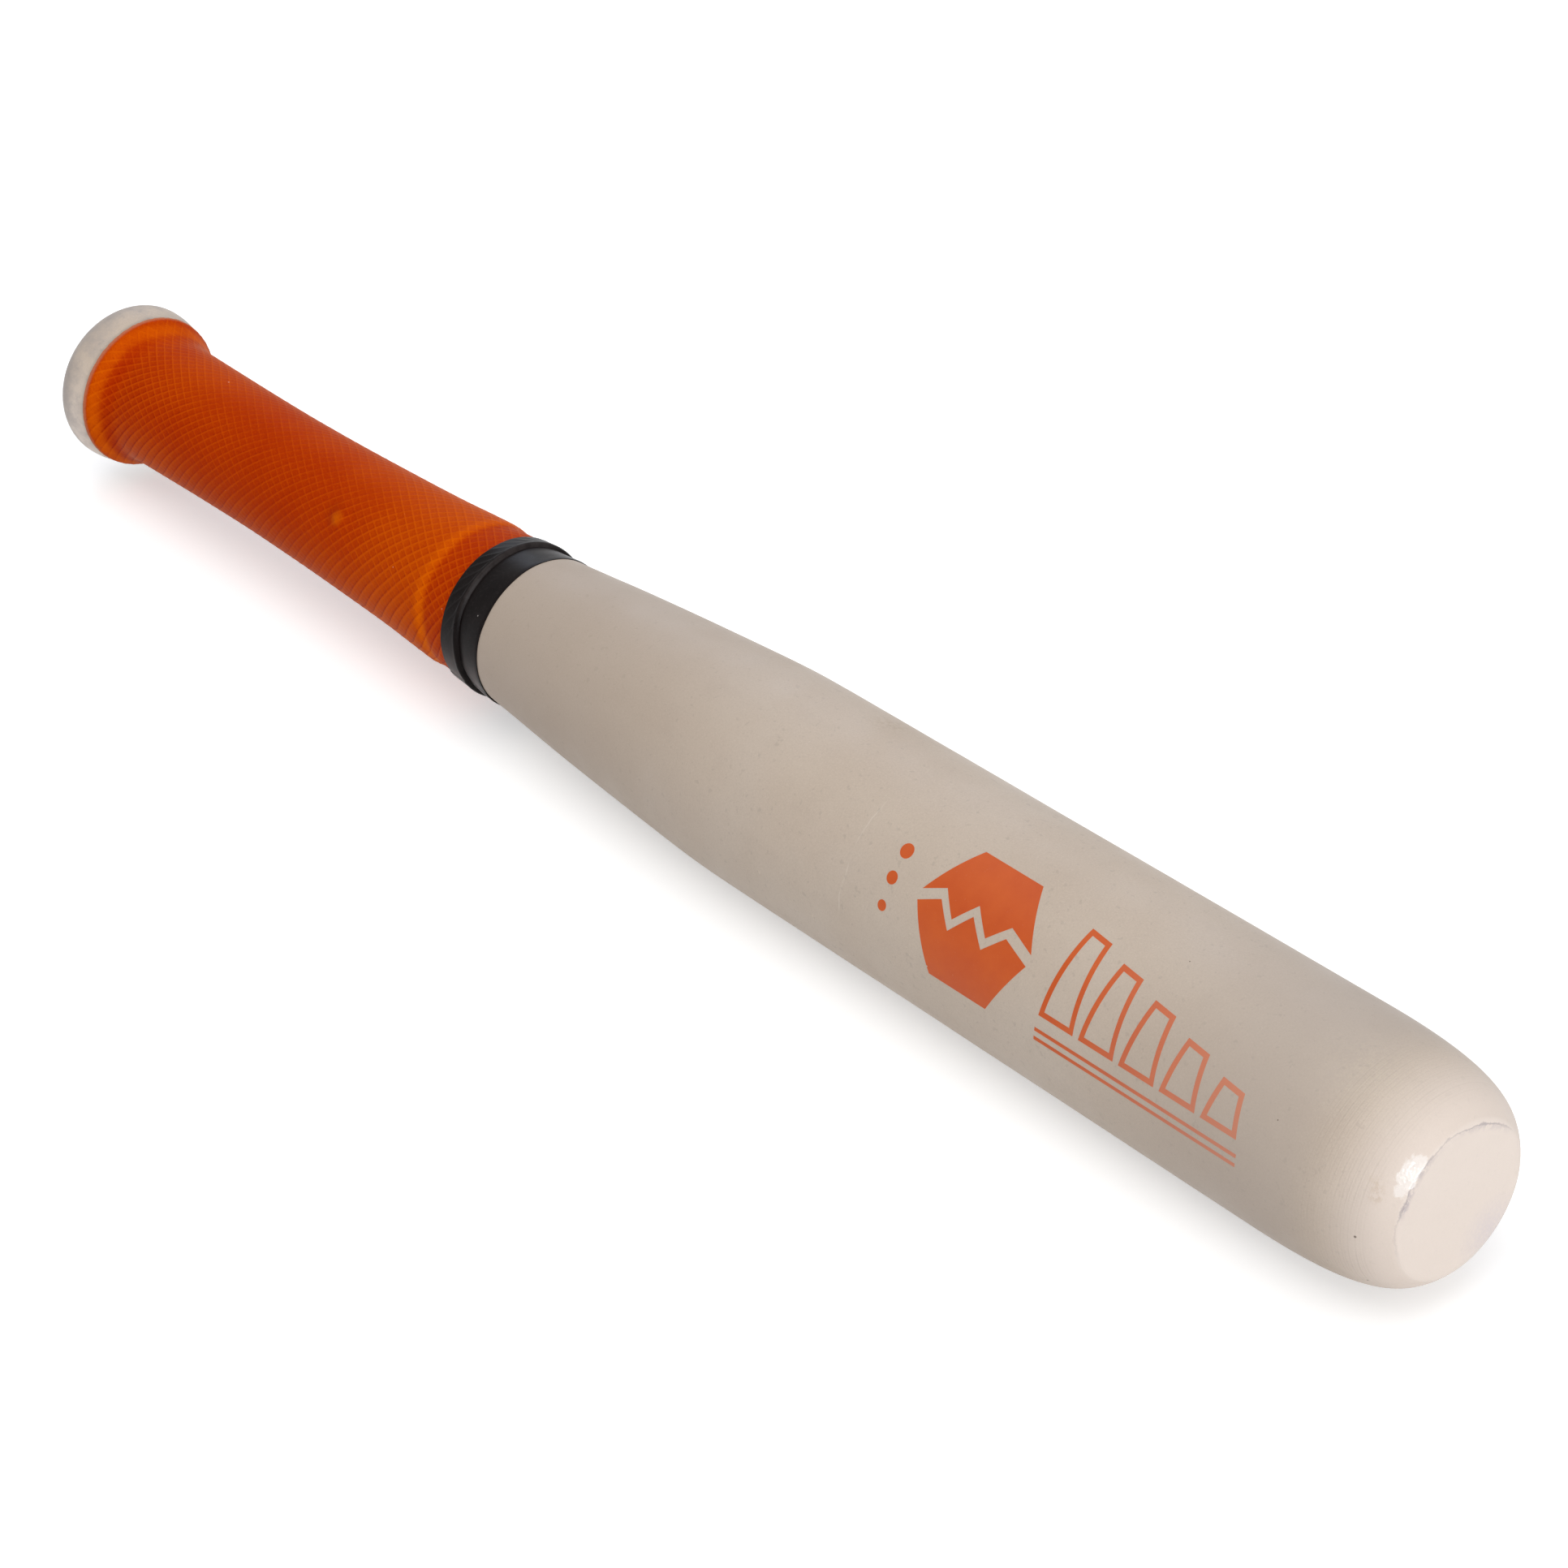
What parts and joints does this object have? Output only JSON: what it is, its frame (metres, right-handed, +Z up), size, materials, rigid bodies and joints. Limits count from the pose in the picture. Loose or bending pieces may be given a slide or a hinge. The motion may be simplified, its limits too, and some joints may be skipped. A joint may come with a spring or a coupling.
{
  "type": "rounders bat",
  "caption": "Short one-handed wooden bat: round painted barrel with a flat tip, taper to a slim handle with a textured grip sleeve, a tape band at its end and a rounded knob.",
  "frame": {"origin": "under the middle of the bat's length, on the surface that it lies on", "axes": "+X along the bat's axis from the knob towards the tip, +Z up with the bat lying down"},
  "size_m": [0.46, 0.0518, 0.0519],
  "materials": {
    "painted_wood": "satin white-grey paint under a thin lacquer, fine turning rings towards the tip",
    "grip_rubber": "satin orange, raised criss-cross of fine ribs",
    "vinyl_tape": "black, soft satin"
  },
  "bodies": {
    "root": {"bat_body": "painted_wood", "grip_sleeve": "grip_rubber", "finishing_tape": "vinyl_tape"}
  },
  "joints": []
}
